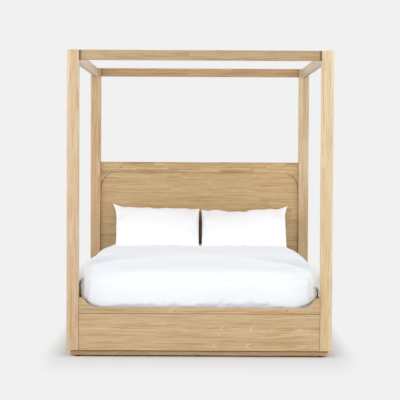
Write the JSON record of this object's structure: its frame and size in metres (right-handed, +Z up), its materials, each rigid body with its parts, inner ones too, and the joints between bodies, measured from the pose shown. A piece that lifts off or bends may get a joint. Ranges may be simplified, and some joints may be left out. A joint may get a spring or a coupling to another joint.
{
  "type": "canopy bed",
  "caption": "Queen-size four-poster bed in natural oak with an open canopy frame, panelled headboard, low curved footboard, slatted base, mattress, white duvet and pillows.",
  "frame": {"origin": "on the floor, under the middle of the bed", "axes": "+X to the right seen from the foot of the bed, +Y from the foot to the headboard, +Z up"},
  "size_m": [1.73, 2.178, 1.995],
  "materials": {
    "oak": "matt clear oil or lacquer on light natural oak",
    "pine": "plain sawn softwood",
    "steel": "zinc-plated sheet",
    "glide": "dark brown moulded plastic",
    "ticking": "off-white woven ticking",
    "duvet_cotton": "white cotton",
    "pillow_cotton": "white cotton"
  },
  "bodies": {
    "frame": {"post_rear_right": "oak", "post_rear_left": "oak", "post_front_left": "oak", "post_front_right": "oak", "canopy_rail_front": "oak", "canopy_rail_rear": "oak", "canopy_rail_left": "oak", "canopy_rail_right": "oak", "headboard_top_rail": "oak", "headboard_panel": "oak", "headboard_lower_rail": "oak", "footboard_top_rail": "oak", "footboard_panel": "oak", "side_rail_left": "oak", "slat_ledger_left": "pine", "side_rail_right": "oak", "slat_ledger_right": "pine", "plinth_front": "oak", "plinth_rear": "oak", "plinth_left": "oak", "plinth_right": "oak", "glide_foot_front_left": "glide", "glide_foot_front_centre": "glide", "glide_foot_front_right": "glide", "glide_foot_rear_left": "glide", "glide_foot_rear_centre": "glide", "glide_foot_rear_right": "glide", "glide_foot_side_left": "glide", "glide_foot_side_right": "glide", "centre_beam": "pine", "beam_hanger_foot": "steel", "beam_hanger_head": "steel", "beam_leg_front": "pine", "glide_foot_beam_front": "glide", "beam_leg_rear": "pine", "glide_foot_beam_rear": "glide", "slat_01": "pine", "slat_02": "pine", "slat_03": "pine", "slat_04": "pine", "slat_05": "pine", "slat_06": "pine", "slat_07": "pine", "slat_08": "pine", "slat_09": "pine", "slat_10": "pine", "slat_11": "pine", "slat_12": "pine", "slat_13": "pine", "corner_bracket_front_left": "steel", "corner_bracket_front_right": "steel", "corner_bracket_rear_left": "steel", "corner_bracket_rear_right": "steel"},
    "mattress": {"mattress": "ticking"},
    "duvet": {"duvet": "duvet_cotton"},
    "pillow_left": {"pillow_left": "pillow_cotton"},
    "pillow_right": {"pillow_right": "pillow_cotton"}
  },
  "joints": [
    {"name": "mattress_lift", "type": "slide", "parent": "frame", "child": "mattress", "axis": [0, 0, 1], "range_m": [0, 1.75]},
    {"name": "duvet_lift", "type": "slide", "parent": "mattress", "child": "duvet", "axis": [0, 0, 1], "range_m": [0, 1.75]},
    {"name": "pillow_left_lift", "type": "slide", "parent": "duvet", "child": "pillow_left", "axis": [0, 0, 1], "range_m": [0, 1.45]},
    {"name": "pillow_right_lift", "type": "slide", "parent": "duvet", "child": "pillow_right", "axis": [0, 0, 1], "range_m": [0, 1.45]}
  ]
}
